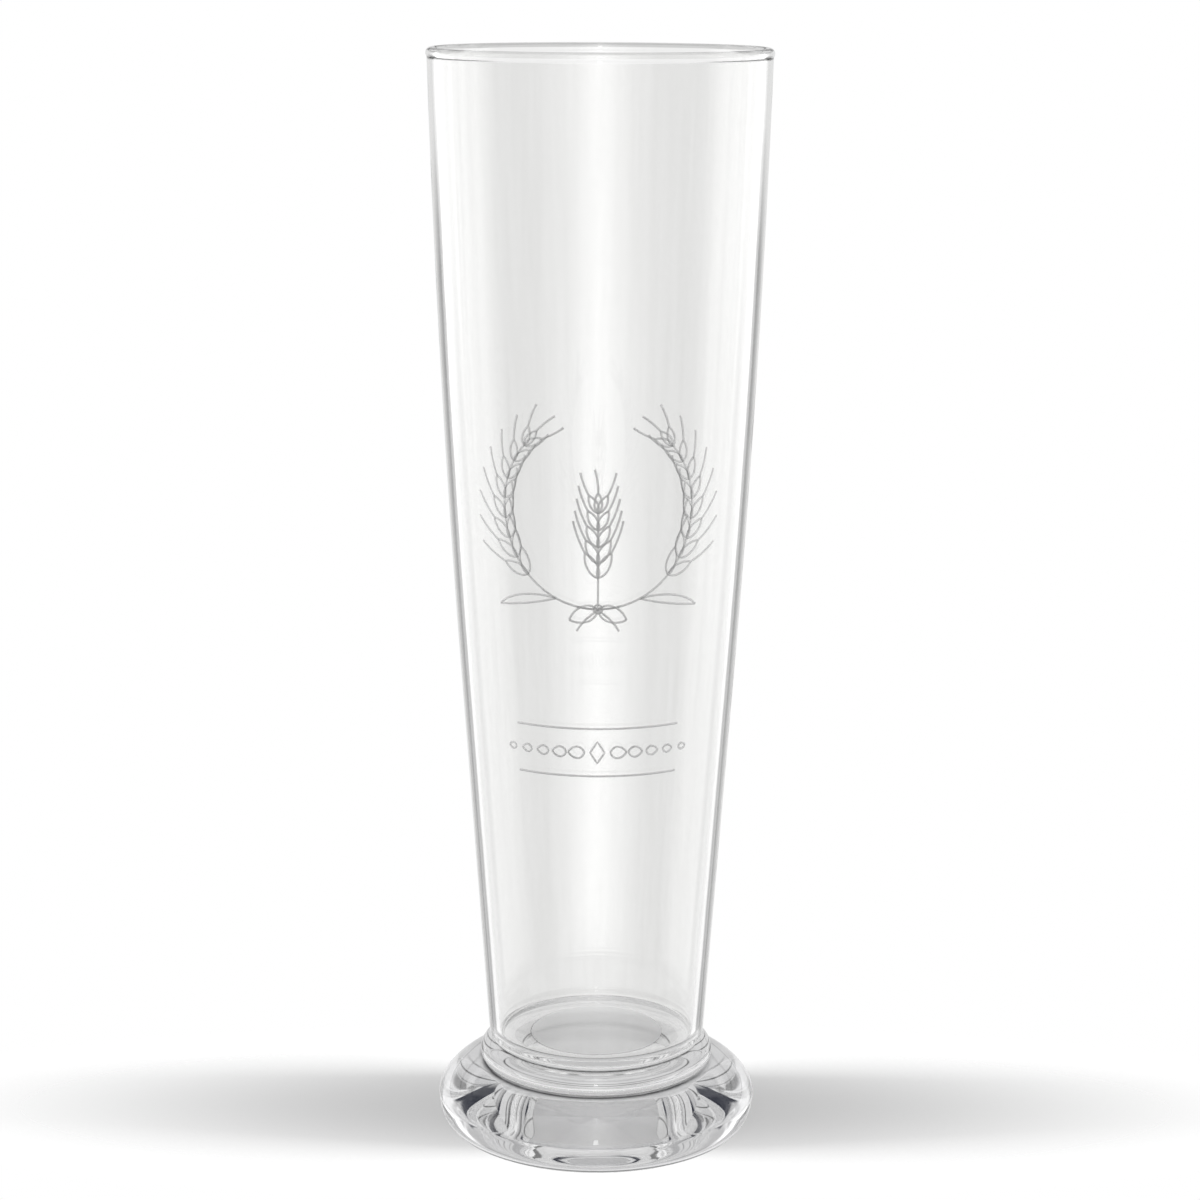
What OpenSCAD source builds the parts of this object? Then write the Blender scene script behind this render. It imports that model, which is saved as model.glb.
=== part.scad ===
// Tall footed wheat beer glass: a blown bowl, a beaded collar and a pressed foot, welded hot on one axis.
// Each piece is a turned profile [radius, height], with the table at height 0 and +Z towards the rim.

/* [Bowl] */
// Height of the whole glass, table to rim
glass_h = 250; // [225:1:290]
// Outer diameter just under the rim
rim_d = 76.2; // [66:0.1:90]
// Outer diameter where the lower and upper tapers would cross
knee_d = 72.7; // [62:0.1:84]
// Height above the table where the two tapers would cross
knee_h = 180; // [160:1:200]
// Outer diameter at the bottom of the bowl
waist_d = 50.1; // [46:0.1:60]
// Wall thickness at the rim
rim_wall = 2.0; // [1.2:0.1:2.4]
// Wall thickness at the bottom of the bowl
base_wall = 2.4; // [2:0.1:5]
// Diameter of the fire-polished bead round the rim
lip_bead_d = 2.5; // [2.4:0.1:4]
// Thickness of the glass under the inside floor
floor_t = 1.2; // [1:0.1:16]
// Width of the dished curve from the inside floor to the wall
floor_round = 7.5; // [2:0.1:18]
// Height of the dished curve from the inside floor to the wall
floor_rise = 2.5; // [1.5:0.1:18]
// Radius of the outside bottom edge
heel_round = 2; // [0.5:0.1:3]

/* [Collar] */
// Height of the collar between the bowl and the foot
collar_h = 5.4; // [4:0.1:12]
// Diameter of the collar at its belly
collar_d = 54.6; // [53:0.1:64]
// Height of the belly above the foot
belly_h = 2.3; // [1:0.1:3.5]

/* [Foot] */
// Height of the foot at its top face
foot_h = 15; // [11:0.1:20]
// Diameter of the foot at its edge
foot_d = 74.4; // [70:0.1:90]
// Height of the widest line of the edge above the table
edge_h = 7; // [2:0.1:9]
// Diameter where the sloping shoulder levels out into the top face
shoulder_d = 54.2; // [53:0.1:66]
// Fullness of the shoulder: 1 is a straight cone, 2 a round quarter
shoulder_form = 1.6; // [1.2:0.05:2.5]
// Diameter of the weld between the collar and the foot
foot_weld_d = 50.8; // [46:0.1:53]
// Outer diameter of the ring that the glass stands on
ring_d = 67; // [60:0.1:68]
// Diameter of the hollow under the foot
hollow_d = 42.5; // [30:0.5:56]
// Depth of the hollow at its centre
hollow_h = 1.5; // [0.5:0.1:6]
// Fullness of the hollow: 2 is a plain dome, more has a flatter roof and steeper sides
hollow_form = 6; // [2:0.5:8]

/* [Hidden] */
$fn = 128;
glass_tint = [0.90, 0.93, 0.93, 0.35];

// Heights of the two welds
foot_weld_h = foot_h;
bowl_weld_h = foot_h + collar_h;

// Radii on the axis
rim_r = rim_d / 2;
knee_r = knee_d / 2;
waist_r = waist_d / 2;
collar_r = collar_d / 2;
foot_weld_r = foot_weld_d / 2;
foot_r = foot_d / 2;
shoulder_r = shoulder_d / 2;
ring_r = ring_d / 2;
hollow_r = hollow_d / 2;

// The wall follows the lower taper, then bends on one arc that is tangent to both tapers and ends at the lip
lip_h = glass_h - lip_bead_d / 2;
lower_run = [knee_r - waist_r, knee_h - bowl_weld_h];
upper_run = [rim_r - knee_r, lip_h - knee_h];
lower_lean = atan2(lower_run.x, lower_run.y);
upper_lean = atan2(upper_run.x, upper_run.y);
bend_start = [knee_r, knee_h] - norm(upper_run) * [sin(lower_lean), cos(lower_lean)];
bend_r = norm(upper_run) / tan((lower_lean - upper_lean) / 2);
bend_centre = bend_start - bend_r * [cos(lower_lean), -sin(lower_lean)];

// Steps along a quarter turn of a round edge, and along a long curve
round_steps = 10;
bend_steps = 16;

// Points along an arc about a centre, from one angle to another, with its own radius across and up.
// A form of 2 is an ellipse; less is slacker, towards a straight line, and more is fuller, towards a corner.
function share(part, form) = sign(part) * abs(part) ^ (2 / form);
function arc(centre, across, up, from, to, steps, form = 2) =
    [for (i = [0 : steps])
        let (a = from + (to - from) * i / steps)
        centre + [across * share(cos(a), form), up * share(sin(a), form)]];

// The outer wall, from the start of the bend up to the lip
function outer_bend() = arc(bend_centre, bend_r, bend_r, -lower_lean, -upper_lean, bend_steps);

// Radius of the straight lower taper of the outside at a height
function taper_r(h) = waist_r + (h - bowl_weld_h) * tan(lower_lean);

// Wall thickness at a height, thinning evenly from the bottom of the bowl to the rim
function wall_at(h) = base_wall + (rim_wall - base_wall) * (h - bowl_weld_h) / (lip_h - bowl_weld_h);

// The inner wall, from the lip down to the bottom of the bend
function inner_bend() =
    let (outer = outer_bend())
    [for (i = [len(outer) - 1 : -1 : 0]) outer[i] - [wall_at(outer[i].y), 0]];

// The dished curve from the inner taper into the floor, tangent to both
inner_lean = atan(tan(lower_lean) - (rim_wall - base_wall) / (lip_h - bowl_weld_h));
floor_h = bowl_weld_h + floor_t;
floor_lean = atan(floor_rise / floor_round * tan(inner_lean));
floor_meet_h = floor_h + floor_rise * (1 - sin(floor_lean));
floor_centre_r = taper_r(floor_meet_h) - wall_at(floor_meet_h) - floor_round * cos(floor_lean);
floor_centre = [floor_centre_r, floor_h + floor_rise];
function floor_curve() = arc(floor_centre, floor_round, floor_rise, -floor_lean, -90, round_steps);

// The outside bottom edge of the bowl, from the weld round to the lower taper
heel_centre_h = bowl_weld_h + heel_round;
heel_centre_r = taper_r(heel_centre_h) - heel_round / cos(lower_lean);
function heel_curve() =
    arc([heel_centre_r, heel_centre_h], heel_round, heel_round, -90, -lower_lean, round_steps);

module bowl() {
    color(glass_tint) rotate_extrude() {
        outside = concat([[0, bowl_weld_h]], heel_curve(), outer_bend());
        inside = concat(inner_bend(), floor_curve(), [[0, floor_h]]);
        polygon(concat(outside, inside));
        translate([rim_r - rim_wall / 2, lip_h]) circle(d = lip_bead_d);
    }
}

module collar() {
    belly = [0, foot_weld_h + belly_h];
    above = arc(belly + [heel_centre_r, 0], collar_r - heel_centre_r, collar_h - belly_h, 0, 90, round_steps);
    below = arc(belly + [foot_weld_r, 0], collar_r - foot_weld_r, belly_h, -90, 0, round_steps);
    color(glass_tint) rotate_extrude()
        polygon(concat([[0, foot_weld_h]], below, above, [[0, bowl_weld_h]]));
}

// The roof of the hollow under the foot, from its centre down to the standing ring
function hollow_curve() =
    [for (i = [0 : bend_steps])
        let (out = sin(90 * i / bend_steps))
        [hollow_r * out, hollow_h * (1 - out ^ hollow_form)]];

module foot() {
    edge = arc([ring_r, edge_h], foot_r - ring_r, edge_h, -90, 0, round_steps);
    flank = [foot_r - shoulder_r, foot_h - edge_h];
    shoulder = arc([shoulder_r, edge_h], flank.x, flank.y, 0, 90, bend_steps, shoulder_form);
    color(glass_tint) rotate_extrude()
        polygon(concat(hollow_curve(), edge, shoulder, [[0, foot_weld_h]]));
}

bowl();
collar();
foot();
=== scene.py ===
import math

import bpy
from bpy.props import FloatProperty, FloatVectorProperty, IntProperty, PointerProperty
from mathutils import Matrix, Vector


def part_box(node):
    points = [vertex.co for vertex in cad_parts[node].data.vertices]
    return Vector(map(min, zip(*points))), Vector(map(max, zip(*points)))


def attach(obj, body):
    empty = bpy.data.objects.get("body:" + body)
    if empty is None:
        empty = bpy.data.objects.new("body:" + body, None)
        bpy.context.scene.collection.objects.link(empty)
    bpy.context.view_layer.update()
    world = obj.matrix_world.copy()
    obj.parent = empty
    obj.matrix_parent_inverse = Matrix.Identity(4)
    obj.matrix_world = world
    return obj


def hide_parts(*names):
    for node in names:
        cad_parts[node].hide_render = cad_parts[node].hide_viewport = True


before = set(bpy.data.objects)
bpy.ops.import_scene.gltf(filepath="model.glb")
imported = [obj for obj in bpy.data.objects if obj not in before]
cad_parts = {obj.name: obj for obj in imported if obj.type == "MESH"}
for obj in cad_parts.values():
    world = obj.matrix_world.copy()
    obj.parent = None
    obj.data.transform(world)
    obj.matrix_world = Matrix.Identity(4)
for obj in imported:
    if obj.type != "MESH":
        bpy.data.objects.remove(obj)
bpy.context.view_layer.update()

bl_info = {
    "name": "Wheat Beer Glass",
    "version": (1, 0, 0),
    "blender": (4, 5, 0),
    "location": "3D View > Sidebar > Glass",
    "description": "Builds a footed wheat beer glass of bowl, collar and foot, with an engraved wheat wreath",
    "category": "Object",
}


def edge(low, high):
    """Two angles given in degrees, between which one thing fades into another."""
    return math.radians(low), math.radians(high)


_, FOOT_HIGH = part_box("foot")
_, COLLAR_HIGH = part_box("collar")
BOWL_LOW, BOWL_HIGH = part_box("bowl")
MM = 0.001

# Turned pieces: points nearer than this are one, and edges bent more than this stay sharp
WELD_DISTANCE = 1e-6
SHARP_ANGLE = math.radians(35)

# A weld's height and radius that no face meets, and the steps from the axis to the rim of a level disc
NO_WELD = (-1.0, 0.0)
DISC_STEPS = 6

# Ripples of the underside: their detail, and the power with which they die out towards their radius
RIPPLE_DETAIL = 1.0
RIPPLE_FADE = 4.0

# Outlines of the engraved motifs, as Bezier points for a length and a half width of one
GRAIN_SIDE = ((0, 0), (0.20, 1.40), (0.70, 1.20), (1, 0))
GRAIN_AWN = ((1, 0), (1.35, 0), (1.8, 0.25), (2.2, 0.9))
LEAF_OUTER = ((0, 0), (0.25, 0.9), (0.7, 1.4), (1, 0.4))
LEAF_INNER = ((0, 0), (0.4, -0.1), (0.8, 0.2), (1, 0.4))
BOW_TAIL = ((0, 0), (0.3, -0.8), (0.5, -1.0), (0.75, -2.2))
CURVE_STEPS = 10
STALK_STEPS = 48

# Ears of wheat: how far the grains lean out and shrink, and how near two grain numbers are the same
EAR_SPREAD = math.radians(27)
EAR_TAPER = 0.3
SAME_INDEX = 0.1

# The arch of a stalk in radians and the share of it under the ear, and the upright ear's height and grains
SIDE_ARCH = {"Arch Start": -0.22, "Arch End": 2.3, "Ear Start": 0.42}
MIDDLE_ARCH = {"Arch Start": 0.0, "Arch End": 1.75, "Ear Start": 0.52}
MIDDLE_RISE = 0.85
MIDDLE_GRAINS = 5

# Leaves and bow at the tie, in grain lengths and widths, and the leaf's place in shares of the wreath
LEAF_LENGTH = 2.3
LEAF_ACROSS = 0.44
LEAF_UP = 0.1
LEAF_TURN = math.radians(-14)
LOOP_TURN = math.radians(-22)
LOOP_SCALE = (1.1, 0.8, 1)
KNOT_RADIUS = 0.42

# Border: grains that start this many pitches out and shrink by this share, a diamond and two straight lines
BORDER_GRAINS = 5
BORDER_START = 0.7
BORDER_TAPER = 0.12
BORDER_LENGTH = 0.9
BORDER_WIDTH = 0.6
DIAMOND_CORNERS = 4
DIAMOND_STEPS = 16
DIAMOND_SCALE = (0.75, 1.1, 1)
RULE_REACH = 0.8
RULE_APART = 2.4

# Glass: its refraction, and how long, how fine and how clear its streaks are and how much they roughen it
GLASS_IOR = 1.52
STREAK_LENGTH = 40.0
STREAK_DETAIL = 2.0
STREAK_RANGE = (0.35, 0.65)
STREAK_ROUGHNESS = 0.004
WAVE_DETAIL = 1.0

# Painted shade lines: waves in a metre, the side where it is darkest, and where round the axis it fades
SHADE_LINE_WAVES = 130.0
SHADE_LINE_DETAIL = 2.0
SHADE_SIDE = (-0.4, -0.92, 0.0)
SHADE_FADE = (-0.75, 0.3)

# The foot's painted shade line lies one of these steps up its round edge, and the matt floor is this deep
EDGE_SHADE_STEPS = 3
MATT_REACH = 0.1 * MM

# Frosted lines: grains in a metre, and from pit to peak their noise level, roughness and cover
FROST_GRAINS = 4200.0
FROST_DETAIL = 3.0
FROST_FINENESS = 0.7
FROST_RANGE = (0.36, 0.62)
FROST_ROUGHNESS = (0.95, 0.6)
FROST_COVER = (0.5, 0.34)
FROST_BUMP = 0.4
FROST_DEPTH = 0.03 * MM
FROST_SHINE = 0.2

# The studio that mirrored rays meet, as grey levels by degrees round from straight behind the glass
HALF_TURN = 180
STUDIO_LOW = ((0, 0.80), (31, 0.80), (36, 1.2), (92, 1.2), (101, 0.66), (134, 0.66))
STUDIO_LEVEL = (
    (0, 0.80), (31, 0.80), (36, 1.7), (64, 1.7), (66, 1.1), (68, 1.1), (70, 1.7), (90, 1.7), (99, 0.70),
    (134, 0.70),
)
STUDIO_HIGH = (
    (0, 0.78), (48, 0.78), (54, 0.22), (84, 0.22), (90, 1.0), (110, 1.0), (126, 0.72), (150, 0.72),
    (180, 2.6),
)
LOW_EDGE = edge(-20, -8)
HIGH_EDGE = edge(5, 10)

# The bright strip behind the camera, which adds to the last of the low and the level panels
STRIP_LOW = ((144, 0.42), (152, 0.76), (161, 1.2), (171, 1.6), (180, 1.8))
STRIP_LEVEL = ((141, 0.15), (150, 0.26), (158, 0.5), (165, 0.85), (171, 1.2), (180, 1.6))

# Grey flags low on both sides behind the glass
FLAG = ((0, 0.0), (17, 0.0), (22, 1.0), (32, 1.0), (36, 0.0))
FLAG_LEVEL = 0.36
FLAG_EDGE = edge(-7, -4)

# Thin dark gaps between the panels: degrees up to the lower and upper edge of each, and its level
PANEL_GAPS = ((7, 8.5, 0.1), (20, 21.5, 0.1), (30.5, 32, 0.1))
GAP_BLUR = 0.6
GAP_SIDE = ((0, 1.0), (45, 1.0), (55, 0.0))

# The dark doorway that rays mirrored twice meet
DOORWAY = ((0, 0.0), (3, 0.0), (8, 1.0), (52, 1.0), (60, 0.0))
DOORWAY_LOW = edge(-46, -42)
DOORWAY_HIGH = edge(-24, -20)

# The plain level under the studio, and where it starts round the sides and under the strip
UNDER_EDGE = edge(-30, -24.5)
UNDER_SIDE = ((0, 1.0), (110, 1.0), (134, 0.0))
UNDER_STRIP_EDGE = edge(-30, -27)
UNDER_LEVEL = 0.6

# The paler level that rays through the whole bowl, or steeply down through one piece of glass, meet instead
UNDER_BOWL_LEVEL = 0.9
STEEP_EDGE = edge(-56, -48)

# What one piece of thick glass shows of the white behind it, and the most that rays mirrored twice meet
THICK_LEVEL = 0.7
THICK_EDGE = edge(-10, -4)
DEEP_LIMIT = 1.0

# The small key lamp over the camera, and the level that scattered rays meet
KEY_WIDTH = math.radians(1.8)
KEY_LOW = edge(16, 18)
KEY_HIGH = edge(34, 38)
KEY_LEVEL = 8.0
OPEN_LIGHT = 0.08

# The floor keeps its full colour within this share of its fade
FLOOR_CORE = 0.15

# Camera and render
CLIP_START = 10 * MM
BOUNCES = {
    "max_bounces": 160,
    "transmission_bounces": 32,
    "glossy_bounces": 160,
    "transparent_max_bounces": 48,
}


# Properties that a user would change
def metres(name, description, default):
    """A property that is a length in metres."""
    return FloatProperty(name=name, description=description, default=default, unit="LENGTH")


def degrees(name, description, default):
    """A property that is an angle, with its default in degrees."""
    return FloatProperty(name=name, description=description, default=math.radians(default), subtype="ANGLE")


def number(name, description, default, **kind):
    """A property that is a plain number, or of the unit or subtype that is given."""
    return FloatProperty(name=name, description=description, default=default, **kind)


def count(name, description, default, least):
    """A property that is a whole number, with the least it can be."""
    return IntProperty(name=name, description=description, default=default, min=least)


def tint(name, description, default):
    """A property that is a colour."""
    return FloatVectorProperty(
        name=name, description=description, default=default, subtype="COLOR", size=3, min=0.0, max=1.0
    )


class BowlSizes(bpy.types.PropertyGroup):
    """Sizes of the blown bowl and of its skin."""

    weld_height: metres("Weld height", "Height of the weld to the collar", BOWL_LOW[2])
    rim_height: metres("Rim height", "Height of the rim above the table", BOWL_HIGH[2])
    rim_radius: metres("Rim radius", "Outer radius just under the rim", 38.1 * MM)
    knee_radius: metres("Knee radius", "Radius where the two tapers would cross", 36.35 * MM)
    knee_height: metres("Knee height", "Height where the two tapers would cross", 180 * MM)
    waist_radius: metres("Waist radius", "Outer radius at the bottom of the bowl", 25.05 * MM)
    rim_wall: metres("Rim wall", "Wall thickness at the rim", 2.0 * MM)
    base_wall: metres("Base wall", "Wall thickness at the bottom", 2.4 * MM)
    lip_bead: metres("Lip bead", "Diameter of the fire-polished bead", 2.5 * MM)
    floor_thickness: metres("Floor thickness", "Glass under the inside floor", 1.2 * MM)
    floor_round: metres("Floor round", "Width of the curve from floor to wall", 7.5 * MM)
    floor_rise: metres("Floor rise", "Height of the curve from floor to wall", 2.5 * MM)
    heel_round: metres("Heel round", "Radius of the outside bottom edge", 2.0 * MM)
    # Painted shade lines along the weld and round the flat of the floor
    shade_line_width: metres("Shade line width", "Width of the line along the bowl's weld", 1.4 * MM)
    shade_line_out: metres("Shade line out", "How far outside the weld its line is seen", 0.7 * MM)
    floor_shade_line: metres("Floor shade line", "Width of the line round the flat of the floor", 0.6 * MM)
    floor_matt: number("Floor matt", "Roughness of the flat of the floor", 0.35, subtype="FACTOR")
    streaks: number("Streaks", "Drawing streaks in a metre", 420.0)
    waves: number("Waves", "Slow waves of the skin in a metre", 60.0)
    wave_depth: metres("Wave depth", "Depth of the slow waves of the skin", 0.02 * MM)


class FootSizes(bpy.types.PropertyGroup):
    """Sizes of the collar and the pressed foot and of their skins."""

    collar_radius: metres("Collar radius", "Radius of the collar's belly", COLLAR_HIGH[0])
    belly_height: metres("Belly height", "Height of the belly above the foot", 2.3 * MM)
    collar_streaks: number("Collar streaks", "Drawing streaks of the collar in a metre", 200.0)
    collar_waves: number("Collar waves", "Slow waves of the collar's skin in a metre", 110.0)
    collar_wave_depth: metres("Collar wave depth", "Depth of the collar's slow waves", 0.03 * MM)
    foot_weld_radius: metres("Foot weld", "Radius of the weld of collar and foot", 25.4 * MM)
    foot_height: metres("Foot height", "Height of the foot's top face", FOOT_HIGH[2])
    foot_radius: metres("Foot radius", "Radius of the foot's edge", FOOT_HIGH[0])
    edge_height: metres("Edge height", "Height of the foot's widest line", 7 * MM)
    shoulder_radius: metres("Shoulder radius", "Radius where the shoulder levels out", 27.1 * MM)
    shoulder_form: number("Shoulder form", "Fullness, 1 for a straight cone and 2 for a round quarter", 1.6)
    ring_radius: metres("Ring radius", "Outer radius of the standing ring", 33.5 * MM)
    hollow_radius: metres("Hollow radius", "Radius of the hollow under the foot", 21.25 * MM)
    hollow_depth: metres("Hollow depth", "Depth of the hollow at its centre", 1.5 * MM)
    hollow_form: number("Hollow form", "Fullness, 2 for a plain dome and more for a flatter roof", 6.0)
    ripple_depth: metres("Ripple depth", "Depth of the ripples under the foot", 0.05 * MM)
    ripple_scale: number("Ripple scale", "Ripples in a metre", 150.0)
    streaks: number("Streaks", "Drawing streaks of the foot in a metre", 160.0)
    waves: number("Waves", "Slow waves of the foot's skin in a metre", 90.0)
    wave_depth: metres("Wave depth", "Depth of the slow waves of the pressed skin", 0.02 * MM)
    # Painted shade lines along the foot's weld, and a painted shadow line round its lower edge
    shade_line_width: metres("Shade line width", "Width of the line along the foot's weld", 3.2 * MM)
    shade_line_out: metres("Shade line out", "How far outside the weld its line is seen", 1.2 * MM)
    shade_line_wander: metres("Shade line wander", "How far that line strays", 1.0 * MM)
    edge_shade_line: metres("Edge shade line", "Width of the line round the foot's lower edge", 1.4 * MM)


class EngravingSizes(bpy.types.PropertyGroup):
    """Sizes of the engraved wheat wreath and of the border under it."""

    wreath_height: metres("Wreath height", "Height of the wreath's tie above the table", 131 * MM)
    wreath_across: metres("Wreath across", "Half the width of the wreath", 21 * MM)
    wreath_rise: metres("Wreath rise", "Half the height of the wreath", 21.5 * MM)
    grains: count("Grains", "Pairs of grains on one ear", 8, 3)
    grain_length: metres("Grain length", "Length of the largest grain", 6.2 * MM)
    grain_width: metres("Grain width", "Width of the largest grain", 2.3 * MM)
    border_height: metres("Border height", "Height of the border above the table", 98 * MM)
    border_across: metres("Border across", "Half the width of the border", 25 * MM)
    line_width: metres("Line width", "Width of an engraved line", 0.5 * MM)
    line_depth: metres("Line depth", "Thickness of the frosted line", 0.04 * MM)
    clearance: metres("Clearance", "Gap between the frosted line and the wall", 0.015 * MM)


class GlassColours(bpy.types.PropertyGroup):
    """Colours of the glass, the engraving and the floor."""

    bowl: tint("Bowl", "What the bowl lets through", (0.91, 0.91, 0.906))
    bowl_streak: tint("Bowl streaks", "The bowl along its faint streaks", (0.885, 0.885, 0.88))
    # Painted shade: the flat of the bowl's floor is tinted darker than the rest of the bowl
    bowl_floor_shade: tint("Bowl floor shade", "What the matt flat of the floor lets through", (0.85, 0.85, 0.85))
    collar: tint("Collar", "What the collar lets through", (0.85, 0.85, 0.85))
    collar_streak: tint("Collar streaks", "The collar along its faint streaks", (0.81, 0.81, 0.81))
    foot: tint("Foot", "What the thick foot lets through", (0.85, 0.85, 0.855))
    foot_streak: tint("Foot streaks", "The foot along its faint streaks", (0.80, 0.80, 0.81))
    frost: tint("Frost", "The brightest grains of the engraving", (0.95, 0.95, 0.95))
    frost_pit: tint("Frost pits", "The darkest grains of the engraving", (0.66, 0.66, 0.66))
    # Painted shade: the dark colour of the lines along welds and edges, where the glass looks dark
    seam: tint("Shade lines", "The lines along welds and pressed edges", (0.002, 0.0022, 0.003))
    doorway: tint("Doorway", "The dark doorway that the thick glass mirrors", (0.006, 0.01, 0.028))
    floor: tint("Floor", "The pale floor", (0.89, 0.89, 0.89))


class LatheSizes(bpy.types.PropertyGroup):
    """How finely the turned pieces are made."""

    segments: count("Segments", "Faces round the axis", 480, 48)
    round_steps: count("Round steps", "Points along a round edge", 14, 4)
    curve_steps: count("Curve steps", "Points along a long curve", 26, 8)
    wall_steps: count("Wall steps", "Points along the wall", 32, 8)


class StageSizes(bpy.types.PropertyGroup):
    """The camera, the light and the floor."""

    camera_distance: metres("Camera distance", "From the axis to the camera", 637.8 * MM)
    camera_height: metres("Camera height", "Above the table", 269.4 * MM)
    camera_side: metres("Camera side", "To the right of the axis", 0.45 * MM)
    camera_pitch: degrees("Camera pitch", "Downward tilt", 12.7)
    camera_roll: degrees("Camera roll", "Turn about the view axis", 0.24)
    lens: number("Lens", "Focal length in millimetres", 85.68, unit="CAMERA")
    floor_size: metres("Floor size", "Side of the floor", 0.8)
    floor_gap: metres("Floor gap", "Air between foot and floor", 0.02 * MM)
    floor_fade_across: metres("Floor fade across", "Where the floor has faded to white, to the sides", 0.195)
    floor_fade_deep: metres("Floor fade deep", "Where it has faded in front and behind", 0.055)
    floor_fade_back: metres("Floor fade back", "How far behind the axis that fade is centred", 0.005)
    lamp_distance: metres("Lamp distance", "From the axis to each side lamp", 2.4)
    lamp_height: metres("Lamp height", "Height of the side lamps", 1.7)
    lamp_back: metres("Lamp back", "How far behind the glass the lamps stand", -0.15)
    lamp_size: metres("Lamp size", "Side of each lamp", 0.7)
    lamp_power: number("Lamp power", "Watts of each lamp", 76.0, unit="POWER")


# Profiles of the turned pieces
def share(part, form):
    """A sine or cosine bent to a form: 2 leaves it, less slackens the curve and more fills it."""
    return math.copysign(abs(part) ** (2 / form), part)


def arc(centre, across, up, start, end, steps, form=2.0):
    """Points [radius, height] along an arc with its own radius across and up, its angles in radians."""
    angles = (start + (end - start) * i / steps for i in range(steps + 1))
    return [
        (centre[0] + across * share(math.cos(a), form), centre[1] + up * share(math.sin(a), form))
        for a in angles
    ]


def line(start, end, steps):
    """Points along a straight stretch, without its two ends."""
    parts = (i / steps for i in range(1, steps))
    return [tuple(a + (b - a) * part for a, b in zip(start, end)) for part in parts]


def wall_heights(start, end, steps):
    """Heights from one end of the wall to the other, closer together near both, without the ends."""
    parts = ((1 - math.cos(math.pi * i / steps)) / 2 for i in range(1, steps))
    return [start + (end - start) * part for part in parts]


class BowlWall:
    """The wall that the profiles and the engraving share: its taper, bend, thickness and weld."""

    def __init__(self, sizes):
        self.sizes = sizes
        self.lip_height = sizes.rim_height - sizes.lip_bead / 2
        lower = (sizes.knee_radius - sizes.waist_radius, sizes.knee_height - sizes.weld_height)
        upper = (sizes.rim_radius - sizes.knee_radius, self.lip_height - sizes.knee_height)
        self.lower_lean = math.atan2(*lower)
        self.upper_lean = math.atan2(*upper)
        run = math.hypot(*upper)
        start = (
            sizes.knee_radius - run * math.sin(self.lower_lean),
            sizes.knee_height - run * math.cos(self.lower_lean),
        )
        self.bend_start = start
        self.bend_radius = run / math.tan((self.lower_lean - self.upper_lean) / 2)
        self.bend_centre = (
            start[0] - self.bend_radius * math.cos(self.lower_lean),
            start[1] + self.bend_radius * math.sin(self.lower_lean),
        )
        self.heel_height = sizes.weld_height + sizes.heel_round
        self.weld_radius = self.taper(self.heel_height) - sizes.heel_round / math.cos(self.lower_lean)

    def taper(self, height):
        """Outer radius of the straight lower taper."""
        return self.sizes.waist_radius + (height - self.sizes.weld_height) * math.tan(self.lower_lean)

    def outer(self, height):
        """Outer radius at a height."""
        if height <= self.bend_start[1]:
            return self.taper(height)
        rise = height - self.bend_centre[1]
        return self.bend_centre[0] + math.sqrt(self.bend_radius**2 - rise**2)

    def thickness(self, height):
        """Wall thickness at a height."""
        up_wall = (height - self.sizes.weld_height) / (self.lip_height - self.sizes.weld_height)
        return self.sizes.base_wall + (self.sizes.rim_wall - self.sizes.base_wall) * up_wall


def floor_curve(sizes, lathe):
    """The dished curve from the inner wall down to the flat of the floor."""
    wall = BowlWall(sizes)
    floor_height = sizes.weld_height + sizes.floor_thickness
    thinning = (sizes.rim_wall - sizes.base_wall) / (wall.lip_height - sizes.weld_height)
    slope = math.tan(wall.lower_lean) - thinning
    lean = math.atan(sizes.floor_rise / sizes.floor_round * slope)
    meet = floor_height + sizes.floor_rise * (1 - math.sin(lean))
    centre_radius = wall.taper(meet) - wall.thickness(meet) - sizes.floor_round * math.cos(lean)
    centre = (centre_radius, floor_height + sizes.floor_rise)
    return arc(centre, sizes.floor_round, sizes.floor_rise, -lean, -math.pi / 2, 2 * lathe.round_steps)


def bowl_profile(sizes, lathe):
    """The bowl's profile, from the weld's centre up the outside, over the lip and down to the floor."""
    wall = BowlWall(sizes)
    heel_centre = (wall.weld_radius, wall.heel_height)
    heel_round = sizes.heel_round
    heel = arc(heel_centre, heel_round, heel_round, -math.pi / 2, -wall.lower_lean, lathe.round_steps)
    lip_radius = sizes.lip_bead / 2
    lip_centre = (sizes.rim_radius - sizes.rim_wall / 2, wall.lip_height)
    neck = math.acos(sizes.rim_wall / sizes.lip_bead)
    lip = arc(lip_centre, lip_radius, lip_radius, -neck, math.pi + neck, 2 * lathe.round_steps)
    floor = floor_curve(sizes, lathe)
    outside = wall_heights(heel[-1][1], lip[0][1], lathe.wall_steps)
    inside = wall_heights(lip[-1][1], floor[0][1], lathe.wall_steps)
    weld_centre = (0, sizes.weld_height)
    points = [weld_centre] + line(weld_centre, heel[0], DISC_STEPS) + heel
    points += [(wall.outer(height), height) for height in outside] + lip
    points += [(wall.outer(height) - wall.thickness(height), height) for height in inside] + floor
    floor_centre = (0, floor[-1][1])
    return points + line(floor[-1], floor_centre, DISC_STEPS) + [floor_centre]


def collar_profile(bowl, sizes, lathe):
    """The collar's profile, from the lower weld's centre round its belly to the upper weld's centre."""
    belly = sizes.foot_height + sizes.belly_height
    steps = lathe.round_steps
    lower = sizes.foot_weld_radius
    upper = BowlWall(bowl).weld_radius
    below = arc((lower, belly), sizes.collar_radius - lower, sizes.belly_height, -math.pi / 2, 0, steps)
    above = arc((upper, belly), sizes.collar_radius - upper, bowl.weld_height - belly, 0, math.pi / 2, steps)
    bottom = (0, sizes.foot_height)
    top = (0, bowl.weld_height)
    points = [bottom] + line(bottom, below[0], DISC_STEPS) + below + above[1:]
    return points + line(above[-1], top, DISC_STEPS) + [top]


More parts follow.
